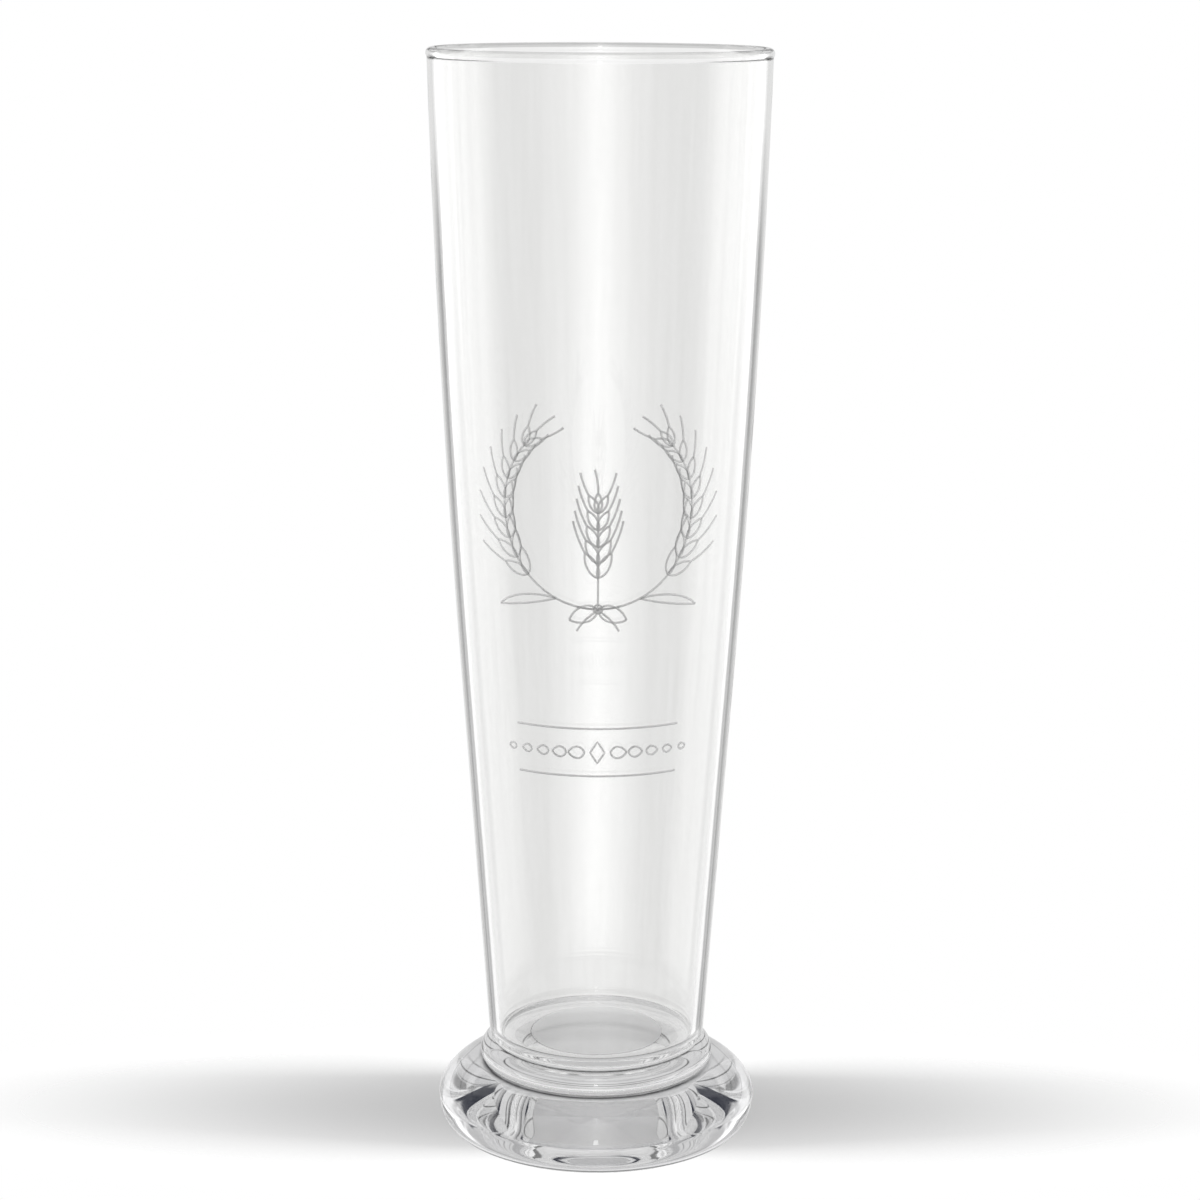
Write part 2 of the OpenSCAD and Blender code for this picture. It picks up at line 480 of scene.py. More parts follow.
def foot_edge(sizes, steps):
    """The rounded edge of the foot, from the standing ring up to its widest line."""
    centre = (sizes.ring_radius, sizes.edge_height)
    return arc(centre, sizes.foot_radius - sizes.ring_radius, sizes.edge_height, -math.pi / 2, 0, steps)


def foot_profile(sizes, lathe):
    """The foot's profile, from the hollow's centre over the ring, edge and shoulder to the weld's centre."""
    steps = lathe.curve_steps
    outward = [math.sin(math.pi / 2 * i / steps) for i in range(steps + 1)]
    points = [
        (sizes.hollow_radius * out, sizes.hollow_depth * (1 - out**sizes.hollow_form)) for out in outward
    ]
    points += foot_edge(sizes, lathe.round_steps)
    flank = (sizes.foot_radius - sizes.shoulder_radius, sizes.foot_height - sizes.edge_height)
    shoulder_centre = (sizes.shoulder_radius, sizes.edge_height)
    points += arc(shoulder_centre, *flank, 0, math.pi / 2, steps, sizes.shoulder_form)[1:]
    weld = (sizes.foot_weld_radius, sizes.foot_height)
    centre = (0, sizes.foot_height)
    return points + [weld] + line(weld, centre, DISC_STEPS) + [centre]


# Node trees
class Nodes:
    """Short forms for placing and linking the nodes of one tree."""

    def __init__(self, tree):
        self.tree = tree

    def feed(self, socket, value):
        """Links a socket to another one, or sets its value."""
        if isinstance(value, bpy.types.NodeSocket):
            self.tree.links.new(value, socket)
        else:
            socket.default_value = value

    def node(self, kind, inputs=None, **settings):
        """A new node with its settings, which decide on its sockets, and then with its inputs."""
        made = self.tree.nodes.new(kind)
        for key, value in settings.items():
            setattr(made, key, value)
        for key, value in (inputs or {}).items():
            self.feed(made.inputs[key], value)
        return made

    def geometry(self, kind, inputs=None, **settings):
        """The first output of a new geometry node."""
        return self.node("GeometryNode" + kind, inputs, **settings).outputs[0]

    def math(self, operation, *values):
        """The result of one calculation."""
        return self.node("ShaderNodeMath", dict(enumerate(values)), operation=operation).outputs[0]

    def vector(self, operation, *values):
        """The outputs of one calculation with vectors, Vector and Value."""
        return self.node("ShaderNodeVectorMath", dict(enumerate(values)), operation=operation).outputs

    def logic(self, operation, a, b):
        """Two tests made into one, by AND or OR."""
        return self.node("FunctionNodeBooleanMath", {0: a, 1: b}, operation=operation).outputs[0]

    def equal(self, a, b, within):
        """Whether two numbers are equal within a distance."""
        near = {"A": a, "B": b, "Epsilon": within}
        return self.node("FunctionNodeCompare", near, data_type="FLOAT", operation="EQUAL").outputs[0]

    def point(self, **axes):
        """A vector of the axes that are given, with nought for the others."""
        return self.node("ShaderNodeCombineXYZ", axes).outputs[0]

    def parts(self, vector):
        """The X, Y and Z of a vector."""
        return self.node("ShaderNodeSeparateXYZ", {0: vector}).outputs

    def inverse(self, value):
        """One less a value."""
        return self.math("SUBTRACT", 1.0, value)

    def length(self, a, b):
        """The long side of a right triangle with these two legs."""
        return self.math("SQRT", self.math("ADD", self.math("POWER", a, 2.0), self.math("POWER", b, 2.0)))

    def noise(self, place, scale, detail, **finer):
        """Smooth noise about a half."""
        inputs = {"Vector": place, "Scale": scale, "Detail": detail, **finer}
        return self.node("ShaderNodeTexNoise", inputs).outputs["Fac"]

    def mapped(self, value, start=(0.0, 1.0), end=(0.0, 1.0), form="LINEAR"):
        """A value carried from one range to another and kept within it."""
        ranges = zip(("From Min", "From Max", "To Min", "To Max"), (*start, *end))
        inputs = {"Value": value, **dict(ranges)}
        return self.node("ShaderNodeMapRange", inputs, interpolation_type=form).outputs["Result"]

    def mixed(self, factor, a, b, kind="RGBA", **settings):
        """One colour, or one number, changing into another."""
        inputs = {"Factor": factor, "A": a, "B": b}
        return self.node("ShaderNodeMix", inputs, data_type=kind, **settings).outputs["Result"]


def new_tree(name, kind, inputs, outputs):
    """The nodes of a new tree and its input sockets, from the names of its sockets listed by their kind."""
    tree = bpy.data.node_groups.new(name, kind)
    for way, sockets in (("INPUT", inputs), ("OUTPUT", outputs)):
        for socket_kind, names in sockets.items():
            for socket in names:
                tree.interface.new_socket(socket, in_out=way, socket_type="NodeSocket" + socket_kind)
    nodes = Nodes(tree)
    return nodes, nodes.node("NodeGroupInput").outputs


def geometry_tree(name, inputs):
    """The nodes and input sockets of a new Geometry Nodes tree that geometry passes through."""
    passing = {"Geometry": ("Geometry",)}
    return new_tree(name, "GeometryNodeTree", {**passing, **inputs}, passing)


def shared(name, build):
    """The node group of that name, built when it is first asked for."""
    return bpy.data.node_groups.get(name) or build(name)


def ripple_lift(nodes, given, place, at):
    """How far the ripples lift each point of the underside, dying out towards their radius."""
    noise = nodes.noise(place, given["Ripple Scale"], RIPPLE_DETAIL)
    wave = nodes.math("MULTIPLY_ADD", noise, 2.0, -1.0)
    outward = nodes.math("DIVIDE", at["X"], given["Ripple Radius"])
    inward = nodes.inverse(nodes.math("POWER", outward, RIPPLE_FADE))
    depth = nodes.math("MULTIPLY", given["Ripple Depth"], nodes.math("MAXIMUM", inward, 0.0))
    under = nodes.math("LESS_THAN", at["Z"], given["Ripple Height"])
    return nodes.point(Z=nodes.math("MULTIPLY", wave, nodes.math("MULTIPLY", depth, under)))


def on_welds(nodes, given, position):
    """Whether a face lies in one of the two welds."""
    at = nodes.parts(position)
    from_axis = nodes.length(at["X"], at["Y"])
    welds = []
    for side in ("Lower", "Upper"):
        level = nodes.equal(at["Z"], given[side + " Weld Height"], WELD_DISTANCE)
        inside = nodes.math("LESS_THAN", from_axis, given[side + " Weld Radius"])
        welds.append(nodes.logic("AND", level, inside))
    return nodes.logic("OR", *welds)


def lathe_tree(name):
    """Turns a profile line about the Z axis into a closed skin, with another material on its welds."""
    sizes = (
        "Lower Weld Height", "Lower Weld Radius", "Upper Weld Height", "Upper Weld Radius",
        "Ripple Depth", "Ripple Radius", "Ripple Height", "Ripple Scale",
    )
    inputs = {"Int": ("Segments",), "Float": sizes, "Material": ("Glass", "Weld")}
    nodes, given = geometry_tree(name, inputs)
    profile = given["Geometry"]
    size = nodes.node("GeometryNodeAttributeDomainSize", {"Geometry": profile}, component="MESH")
    points = size.outputs["Point Count"]
    columns = nodes.math("ADD", given["Segments"], 1.0)
    grid = nodes.geometry("MeshGrid", {"Vertices X": columns, "Vertices Y": points})
    index = nodes.geometry("InputIndex")
    along = nodes.math("FLOORED_MODULO", index, points)
    column = nodes.math("FLOOR", nodes.math("DIVIDE", index, points))
    turn = nodes.math("DIVIDE", nodes.math("MULTIPLY", column, math.tau), given["Segments"])
    position = nodes.geometry("InputPosition")
    sample = {"Geometry": profile, "Value": position, "Index": along}
    at = nodes.parts(nodes.geometry("SampleIndex", sample, data_type="FLOAT_VECTOR"))
    x = nodes.math("MULTIPLY", at["X"], nodes.math("COSINE", turn))
    y = nodes.math("MULTIPLY", at["X"], nodes.math("SINE", turn))
    place = nodes.point(X=x, Y=y, Z=at["Z"])
    lift = ripple_lift(nodes, given, place, at)
    skin = nodes.geometry("SetPosition", {"Geometry": grid, "Position": place, "Offset": lift})
    skin = nodes.geometry("MergeByDistance", {"Geometry": skin, "Distance": WELD_DISTANCE})
    skin = nodes.geometry("SetShadeSmooth", {"Geometry": skin, "Shade Smooth": True}, domain="FACE")
    sharp = nodes.math("GREATER_THAN", nodes.geometry("InputMeshEdgeAngle"), SHARP_ANGLE)
    creases = {"Geometry": skin, "Selection": sharp, "Shade Smooth": False}
    skin = nodes.geometry("SetShadeSmooth", creases, domain="EDGE")
    skin = nodes.geometry("RealizeInstances", {"Geometry": skin})
    skin = nodes.geometry("SetMaterial", {"Geometry": skin, "Material": given["Glass"]})
    weld = {"Selection": on_welds(nodes, given, position), "Material": given["Weld"]}
    skin = nodes.geometry("SetMaterial", {"Geometry": skin, **weld})
    nodes.node("NodeGroupOutput", {"Geometry": skin})
    return nodes.tree


def placed(name, data):
    """A new object of that name in the scene."""
    made = bpy.data.objects.new(name, data)
    bpy.context.scene.collection.objects.link(made)
    return made


def finished_piece(name, tree, base, values):
    """Runs a tree on a base mesh and keeps the result as a plain mesh object of that name."""
    carrier = placed(name + "_base", base)
    modifier = carrier.modifiers.new("Build", "NODES")
    modifier.node_group = tree
    for item in tree.interface.items_tree:
        if item.in_out == "INPUT" and item.name in values:
            modifier[item.identifier] = values[item.name]
    graph = bpy.context.evaluated_depsgraph_get()
    mesh = bpy.data.meshes.new_from_object(carrier.evaluated_get(graph), depsgraph=graph)
    bpy.data.objects.remove(carrier)
    mesh.name = name
    return placed(name, mesh)


def profile_mesh(name, points):
    """A mesh of one line of points, each at its radius along X and its height along Z."""
    mesh = bpy.data.meshes.new(name)
    vertices = [(radius, 0, height) for radius, height in points]
    edges = [(i, i + 1) for i in range(len(points) - 1)]
    mesh.from_pydata(vertices, edges, [])
    return mesh


def turned_piece(name, points, glass, welds, ripples=None):
    """A closed turned piece of glass, with welds given as (height, radius) and ripples in its underside."""
    lower, upper = welds
    values = {
        **(ripples or {"Ripple Depth": 0.0, "Ripple Radius": 1.0, "Ripple Height": 0.0}),
        "Segments": bpy.context.scene.glass_lathe.segments,
        "Lower Weld Height": lower[0],
        "Lower Weld Radius": lower[1],
        "Upper Weld Height": upper[0],
        "Upper Weld Radius": upper[1],
        "Glass": glass,
        "Weld": weld_material(),
    }
    profile = profile_mesh(name + "_profile", points)
    return finished_piece(name, shared("Turned Glass", lathe_tree), profile, values)


# The engraving
def bezier(nodes, points):
    """A flat Bezier curve through its start, two handles and end."""
    names = ("Start", "Start Handle", "End Handle", "End")
    inputs = {name: (*point, 0) for name, point in zip(names, points)}
    return nodes.geometry("CurvePrimitiveBezierSegment", {"Resolution": CURVE_STEPS, **inputs})


def moved(nodes, shape, place=(0, 0, 0), turn=(0, 0, 0), scale=(1, 1, 1)):
    """A shape scaled, turned and moved."""
    inputs = {"Geometry": shape, "Translation": place, "Rotation": turn, "Scale": scale}
    return nodes.geometry("Transform", inputs)


def joined(nodes, *shapes):
    """Several shapes as one."""
    join = nodes.node("GeometryNodeJoinGeometry")
    for shape in shapes:
        nodes.feed(join.inputs[0], shape)
    return join.outputs[0]


def mirrored(nodes, shape):
    """A shape with its mirror image across the middle line."""
    return joined(nodes, shape, moved(nodes, shape, scale=(-1, 1, 1)))


def grain_sides(nodes):
    """The two sides of a grain, which lies along X."""
    side = bezier(nodes, GRAIN_SIDE)
    return joined(nodes, side, moved(nodes, side, scale=(1, -1, 1)))


def along_arch(nodes, given, up_stalk):
    """Place and heading on the arch that a stalk follows, from its start to the tip of its ear."""
    start, end = given["Arch Start"], given["Arch End"]
    angle = nodes.math("MULTIPLY_ADD", up_stalk, nodes.math("SUBTRACT", end, start), start)
    cosine = nodes.math("COSINE", angle)
    sine = nodes.math("SINE", angle)
    x = nodes.math("MULTIPLY", given["Across"], sine)
    y = nodes.math("MULTIPLY", given["Rise"], nodes.inverse(cosine))
    forward = nodes.math("MULTIPLY", given["Across"], cosine)
    upward = nodes.math("MULTIPLY", given["Rise"], sine)
    return nodes.point(X=x, Y=y), nodes.math("ARCTAN2", upward, forward)


def ear_tree(name):
    """One ear of wheat: a bent stalk with pairs of bearded grains and a grain at its tip, as flat curves."""
    sizes = ("Across", "Rise", "Arch Start", "Arch End", "Ear Start", "Grain Length", "Grain Width")
    nodes, given = geometry_tree(name, {"Float": sizes, "Int": ("Grains",)})
    grain = joined(nodes, grain_sides(nodes), bezier(nodes, GRAIN_AWN))
    straight = nodes.geometry("CurvePrimitiveLine")
    straight = nodes.geometry("ResampleCurve", {"Curve": straight, "Count": STALK_STEPS})
    place, _ = along_arch(nodes, given, nodes.geometry("SplineParameter"))
    stalk = nodes.geometry("SetPosition", {"Geometry": straight, "Position": place})
    last = nodes.math("SUBTRACT", given["Grains"], 1.0)
    index = nodes.geometry("InputIndex")
    up_ear = nodes.math("DIVIDE", index, last)
    ear_start = given["Ear Start"]
    up_stalk = nodes.math("MULTIPLY_ADD", up_ear, nodes.inverse(ear_start), ear_start)
    place, heading = along_arch(nodes, given, up_stalk)
    row = nodes.geometry("MeshLine", {"Count": given["Grains"]})
    row = nodes.geometry("SetPosition", {"Geometry": row, "Position": place})
    size = nodes.math("MULTIPLY_ADD", up_ear, -EAR_TAPER, 1.0)
    length = nodes.math("MULTIPLY", size, given["Grain Length"])
    half_width = nodes.math("MULTIPLY", size, nodes.math("DIVIDE", given["Grain Width"], 2.0))
    at_tip = nodes.equal(index, last, SAME_INDEX)
    parts = [stalk]
    for lean, awn_side, chosen in ((EAR_SPREAD, -1.0, True), (-EAR_SPREAD, 1.0, True), (0.0, 1.0, at_tip)):
        turn = nodes.point(Z=nodes.math("ADD", heading, lean))
        scale = nodes.point(X=length, Y=nodes.math("MULTIPLY", half_width, awn_side), Z=1.0)
        inputs = {"Points": row, "Selection": chosen, "Instance": grain, "Rotation": turn, "Scale": scale}
        parts.append(nodes.geometry("InstanceOnPoints", inputs))
    ear = nodes.geometry("RealizeInstances", {"Geometry": joined(nodes, *parts)})
    nodes.node("NodeGroupOutput", {"Geometry": ear})
    return nodes.tree


def wreath_lines(nodes, given):
    """Two arched ears with leaves and a bow at their tie, and one upright ear in the middle."""
    ear = ear_tree("Wheat Ear")
    grains = {name: given[name] for name in ("Grains", "Grain Length", "Grain Width")}
    arched = {"Across": given["Across"], "Rise": given["Rise"], **SIDE_ARCH, **grains}
    right = nodes.geometry("Group", arched, node_tree=ear)
    rise = nodes.math("MULTIPLY", given["Rise"], MIDDLE_RISE)
    upright = {"Across": 0.0, "Rise": rise, **MIDDLE_ARCH, **grains, "Grains": MIDDLE_GRAINS}
    middle = nodes.geometry("Group", upright, node_tree=ear)
    length, width = given["Grain Length"], given["Grain Width"]
    leaf_scale = nodes.point(X=nodes.math("MULTIPLY", length, LEAF_LENGTH), Y=width, Z=1.0)
    leaf_across = nodes.math("MULTIPLY", given["Across"], LEAF_ACROSS)
    leaf_place = nodes.point(X=leaf_across, Y=nodes.math("MULTIPLY", given["Rise"], LEAF_UP))
    leaf = joined(nodes, bezier(nodes, LEAF_OUTER), bezier(nodes, LEAF_INNER))
    leaf = moved(nodes, leaf, leaf_place, (0, 0, LEAF_TURN), leaf_scale)
    bow_scale = nodes.point(X=length, Y=width, Z=1.0)
    loop_scale = nodes.vector("MULTIPLY", bow_scale, LOOP_SCALE)["Vector"]
    loop = moved(nodes, grain_sides(nodes), turn=(0, 0, LOOP_TURN), scale=loop_scale)
    tail = moved(nodes, bezier(nodes, BOW_TAIL), scale=bow_scale)
    knot = nodes.geometry("CurvePrimitiveCircle", {"Radius": nodes.math("MULTIPLY", width, KNOT_RADIUS)})
    return joined(nodes, mirrored(nodes, joined(nodes, right, leaf, loop, tail)), middle, knot)


def border_lines(nodes, given):
    """A row of grains running out from a diamond to both sides, between two straight lines."""
    across, width = given["Border Across"], given["Grain Width"]
    index = nodes.geometry("InputIndex")
    pitch = nodes.math("DIVIDE", across, BORDER_GRAINS + BORDER_START)
    place = nodes.point(X=nodes.math("MULTIPLY", nodes.math("ADD", index, BORDER_START), pitch))
    row = nodes.geometry("MeshLine", {"Count": BORDER_GRAINS})
    row = nodes.geometry("SetPosition", {"Geometry": row, "Position": place})
    size = nodes.math("MULTIPLY_ADD", index, -BORDER_TAPER, 1.0)
    grain_length = nodes.math("MULTIPLY", size, nodes.math("MULTIPLY", pitch, BORDER_LENGTH))
    grain_width = nodes.math("MULTIPLY", size, nodes.math("MULTIPLY", width, BORDER_WIDTH))
    scale = nodes.point(X=grain_length, Y=grain_width, Z=1.0)
    row = nodes.geometry("InstanceOnPoints", {"Points": row, "Instance": grain_sides(nodes), "Scale": scale})
    row = nodes.geometry("RealizeInstances", {"Geometry": row})
    diamond = nodes.geometry("CurvePrimitiveCircle", {"Resolution": DIAMOND_CORNERS, "Radius": width})
    diamond = moved(nodes, diamond, scale=DIAMOND_SCALE)
    diamond = nodes.geometry("ResampleCurve", {"Curve": diamond, "Count": DIAMOND_STEPS})
    rule_end = nodes.point(X=nodes.math("MULTIPLY", across, RULE_REACH))
    rule = nodes.geometry("CurvePrimitiveLine", {"End": rule_end})
    rule = nodes.geometry("ResampleCurve", {"Curve": rule, "Count": STALK_STEPS})
    apart = nodes.math("MULTIPLY", width, RULE_APART)
    upper = moved(nodes, rule, nodes.point(Y=apart))
    lower = moved(nodes, rule, nodes.point(Y=nodes.math("MULTIPLY", apart, -1.0)))
    return joined(nodes, mirrored(nodes, joined(nodes, row, upper, lower)), diamond)


def wrapped_on_bowl(nodes, given, flat):
    """Flat geometry, x across and y up, laid round the outside of the bowl on the side of the -Y axis."""
    at = nodes.parts(nodes.geometry("InputPosition"))
    taper = nodes.math("MULTIPLY_ADD", at["Y"], given["Taper"], given["Taper Radius"])
    rise = nodes.math("SUBTRACT", at["Y"], given["Bend Centre Height"])
    squares = (nodes.math("POWER", leg, 2.0) for leg in (given["Bend Radius"], rise))
    reach = nodes.math("SQRT", nodes.math("SUBTRACT", *squares))
    bend = nodes.math("ADD", given["Bend Centre Radius"], reach)
    above = nodes.math("GREATER_THAN", at["Y"], given["Bend Height"])
    radius = nodes.math("ADD", nodes.mixed(above, taper, bend, "FLOAT"), at["Z"])
    angle = nodes.math("DIVIDE", at["X"], given["Reference Radius"])
    x = nodes.math("MULTIPLY", radius, nodes.math("SINE", angle))
    y = nodes.math("MULTIPLY", radius, nodes.math("COSINE", angle))
    place = nodes.point(X=x, Y=nodes.math("MULTIPLY", y, -1.0), Z=at["Y"])
    return nodes.geometry("SetPosition", {"Geometry": flat, "Position": place})


def engraving_tree(name):
    """The whole engraving: wreath and border as flat lines, given width and depth and laid on the bowl."""
    sizes = (
        "Wreath Height", "Across", "Rise", "Grain Length", "Grain Width", "Border Height", "Border Across",
        "Line Width", "Line Depth", "Clearance", "Taper", "Taper Radius", "Bend Height", "Bend Radius",
        "Bend Centre Radius", "Bend Centre Height", "Reference Radius",
    )
    nodes, given = geometry_tree(name, {"Float": sizes, "Int": ("Grains",), "Material": ("Frost",)})
    wreath = moved(nodes, wreath_lines(nodes, given), nodes.point(Y=given["Wreath Height"]))
    border = moved(nodes, border_lines(nodes, given), nodes.point(Y=given["Border Height"]))
    lines = nodes.geometry("SetCurveNormal", {"Curve": joined(nodes, wreath, border)}, mode="Z_UP")
    stroke = {"Width": given["Line Width"], "Height": given["Line Depth"]}
    stroke = nodes.geometry("CurvePrimitiveQuadrilateral", stroke)
    flat = nodes.geometry("CurveToMesh", {"Curve": lines, "Profile Curve": stroke, "Fill Caps": True})
    proud = nodes.math("MULTIPLY_ADD", given["Line Depth"], 0.5, given["Clearance"])
    flat = moved(nodes, flat, nodes.point(Z=proud))
    ribbons = nodes.geometry("RealizeInstances", {"Geometry": wrapped_on_bowl(nodes, given, flat)})
    ribbons = nodes.geometry("SetMaterial", {"Geometry": ribbons, "Material": given["Frost"]})
    nodes.node("NodeGroupOutput", {"Geometry": ribbons})
    return nodes.tree


# Materials
def new_material(name):
    """A node material, its nodes and its Principled shader."""
    material = bpy.data.materials.new(name)
    material.use_nodes = True
    return material, Nodes(material.node_tree), material.node_tree.nodes["Principled BSDF"]


def weld_material():
    """The weld between two pieces, where hot glass has run together and nothing is left to see."""
    made = bpy.data.materials.get("fused_weld")
    if made:
        return made
    made, _, shader = new_material("fused_weld")
    shader.inputs["Alpha"].default_value = 0.0
    return made


def drawn_glass_group(name):
    """What all the glass shares: faint drawing streaks, slow waves and a fine change of polish."""
    sizes = ("Streaks", "Streak Length", "Streak Roughness", "Waves")
    inputs = {"Color": ("Tint", "Streak Tint"), "Float": sizes}
    outputs = {"Color": ("Tint",), "Float": ("Roughness", "Wave")}
    nodes, given = new_tree(name, "ShaderNodeTree", inputs, outputs)
    at = nodes.node("ShaderNodeTexCoord").outputs["Object"]
    streaks = given["Streaks"]
    stretch = nodes.point(X=streaks, Y=streaks, Z=nodes.math("DIVIDE", streaks, given["Streak Length"]))
    drawn = nodes.vector("MULTIPLY", at, stretch)["Vector"]
    streak = nodes.mapped(nodes.noise(drawn, 1.0, STREAK_DETAIL), STREAK_RANGE)
    tinted = nodes.mixed(streak, given["Tint"], given["Streak Tint"])
    rough = nodes.math("MULTIPLY", streak, given["Streak Roughness"])
    wave = nodes.noise(at, given["Waves"], WAVE_DETAIL)
    nodes.node("NodeGroupOutput", {"Tint": tinted, "Roughness": rough, "Wave": wave})
    return nodes.tree


def shade_line_group(name):
    """Painted shade: a dark line along a weld or a pressed edge, as a circle about the axis, darkest on one
    side.
    """
    inputs = {"Color": ("Tint", "Shade Tint"), "Float": ("Radius", "Height", "Width", "Wander")}
    nodes, given = new_tree(name, "ShaderNodeTree", inputs, {"Color": ("Tint",)})
    place = nodes.node("ShaderNodeTexCoord").outputs["Object"]
    at = nodes.parts(place)
    from_axis = nodes.length(at["X"], at["Y"])
    stray = nodes.math("SUBTRACT", nodes.noise(place, SHADE_LINE_WAVES, SHADE_LINE_DETAIL), 0.5)
    stray = nodes.math("MULTIPLY", stray, given["Wander"])
    across = nodes.math("ADD", nodes.math("SUBTRACT", from_axis, given["Radius"]), stray)
    apart = nodes.length(across, nodes.math("SUBTRACT", at["Z"], given["Height"]))
    half = nodes.math("MULTIPLY", given["Width"], 0.5)
    painted_shade = nodes.mapped(apart, (half, 0.0), form="SMOOTHSTEP")
    facing = nodes.math("DIVIDE", nodes.vector("DOT_PRODUCT", place, SHADE_SIDE)["Value"], given["Radius"])
    painted_shade = nodes.math("MULTIPLY", painted_shade, nodes.mapped(facing, SHADE_FADE))
    nodes.node("NodeGroupOutput", {"Tint": nodes.mixed(painted_shade, given["Tint"], given["Shade Tint"])})
    return nodes.tree


def matt_shaded_disc_group(name):
    """A level disc about the axis that is duller than the glass round it, such as a pressed floor, and tinted
    darker as painted shade.
    """
    skin = {"Color": ("Tint",), "Float": ("Roughness",)}
    sizes = ("Matt Roughness", "Radius", "Height")
    inputs = {"Color": ("Tint", "Matt Shade Tint"), "Float": ("Roughness", *sizes)}
    nodes, given = new_tree(name, "ShaderNodeTree", inputs, skin)
    at = nodes.parts(nodes.node("ShaderNodeTexCoord").outputs["Object"])
    level = nodes.math("COMPARE", at["Z"], given["Height"], MATT_REACH)
    inside = nodes.math("LESS_THAN", nodes.length(at["X"], at["Y"]), given["Radius"])
    matt = nodes.math("MULTIPLY", inside, level)
    tinted = nodes.mixed(matt, given["Tint"], given["Matt Shade Tint"])
    rough = nodes.mixed(matt, given["Roughness"], given["Matt Roughness"], "FLOAT")
    nodes.node("NodeGroupOutput", {"Tint": tinted, "Roughness": rough})
    return nodes.tree


def glass_material(name, tints, skin, shade_lines, disc=None):
    """Clear glass over the shared streaks and waves, with painted shade lines and perhaps a matt disc.

    The tints are the clear and the streaked one. The skin is its streaks, its waves and the depth of a wave.
    Each painted shade line is its radius, height, width and wander.
    """
    made, nodes, shader = new_material(name)
    clear, streaked = ((*colour, 1) for colour in tints)
    streaks, waves, wave_depth = skin
    drawn = {
        "Tint": clear,
        "Streak Tint": streaked,
        "Streaks": streaks,
        "Streak Length": STREAK_LENGTH,
        "Streak Roughness": STREAK_ROUGHNESS,
        "Waves": waves,
    }
    effect = nodes.node("ShaderNodeGroup", drawn, node_tree=shared("Drawn Glass", drawn_glass_group))
    wave = effect.outputs["Wave"]
    bump = nodes.node("ShaderNodeBump", {"Strength": 1.0, "Distance": wave_depth, "Height": wave})
    look = {part: effect.outputs[part] for part in ("Tint", "Roughness")}
    # Painted shade: dark lines painted into the glass's tint along its welds and edges
    dark = (*bpy.context.scene.glass_colours.seam, 1)
    for seam in shade_lines:
        sizes = dict(zip(("Radius", "Height", "Width", "Wander"), seam))
        inputs = {"Tint": look["Tint"], "Shade Tint": dark, **sizes}
        shade_line_node = nodes.node("ShaderNodeGroup", inputs, node_tree=shared("Painted Shade Line", shade_line_group))
        look["Tint"] = shade_line_node.outputs["Tint"]
    if disc:
        dulled = shared("Matt Shaded Disc", matt_shaded_disc_group)
        look = nodes.node("ShaderNodeGroup", {**look, **disc}, node_tree=dulled).outputs
    nodes.feed(shader.inputs["Base Color"], look["Tint"])
    nodes.feed(shader.inputs["Roughness"], look["Roughness"])
    nodes.feed(shader.inputs["Normal"], bump.outputs[0])
    shader.inputs["Transmission Weight"].default_value = 1.0
    shader.inputs["IOR"].default_value = GLASS_IOR
    return made


def frost_material(colours):
    """Engraved lines: ground glass, pale, grainy and rough, which lets some of the light through."""
    made, nodes, shader = new_material("engraved_frost")
    at = nodes.node("ShaderNodeTexCoord").outputs["Object"]
    grain = nodes.noise(at, FROST_GRAINS, FROST_DETAIL, Roughness=FROST_FINENESS)
    tone = nodes.mapped(grain, FROST_RANGE)
    bump = nodes.node("ShaderNodeBump", {"Strength": FROST_BUMP, "Distance": FROST_DEPTH, "Height": grain})
    nodes.feed(shader.inputs["Base Color"], nodes.mixed(tone, (*colours.frost_pit, 1), (*colours.frost, 1)))
    nodes.feed(shader.inputs["Roughness"], nodes.mapped(grain, end=FROST_ROUGHNESS))
    nodes.feed(shader.inputs["Alpha"], nodes.mapped(grain, FROST_RANGE, FROST_COVER))
    nodes.feed(shader.inputs["Normal"], bump.outputs[0])
    shader.inputs["Specular IOR Level"].default_value = FROST_SHINE
    return made


def floor_material(colours, sizes):
    """Pale floor that keeps the shadow and fades into the white round it."""
    made, nodes, shader = new_material("pale_floor")
    shader.inputs["Base Color"].default_value = (*colours.floor, 1)
    shader.inputs["Roughness"].default_value = 1.0
    shader.inputs["Specular IOR Level"].default_value = 0.0
    at = nodes.node("ShaderNodeTexCoord").outputs["Object"]
    centred = nodes.vector("ADD", at, (0, -sizes.floor_fade_back, 0))["Vector"]
    fades = (1 / sizes.floor_fade_across, 1 / sizes.floor_fade_deep, 0)
    spread = nodes.vector("MULTIPLY", centred, fades)["Vector"]
    reach = nodes.vector("LENGTH", spread)["Value"]
    nodes.feed(shader.inputs["Alpha"], nodes.mapped(reach, (FLOOR_CORE, 1.0), (1.0, 0.0), "SMOOTHSTEP"))
    return made


# The studio
def grey(level):
    """A grey colour of that level."""
    return (level, level, level, 1)


def tone_ramp(nodes, around, stops):
    """Grey levels along a share of half a turn, from stops of degrees and level."""
    ramp = nodes.node("ShaderNodeValToRGB", {"Fac": around})
    elements = ramp.color_ramp.elements
    while len(elements) < len(stops):
        elements.new(0.5)
    for element, (bearing, level) in zip(elements, stops):
        element.position = bearing / HALF_TURN
        element.color = grey(level)
    return ramp.outputs[0]


def with_strip(panels, strip):
    """The stops of the panels, and of the strip that adds to the last of them."""
    last = panels[-1][1]
    return panels + tuple((bearing, last + extra) for bearing, extra in strip)


def band(nodes, rise, low, high):
    """1 between a lower and an upper edge, and 0 outside them."""
    return nodes.math("SUBTRACT", nodes.mapped(rise, low), nodes.mapped(rise, high))


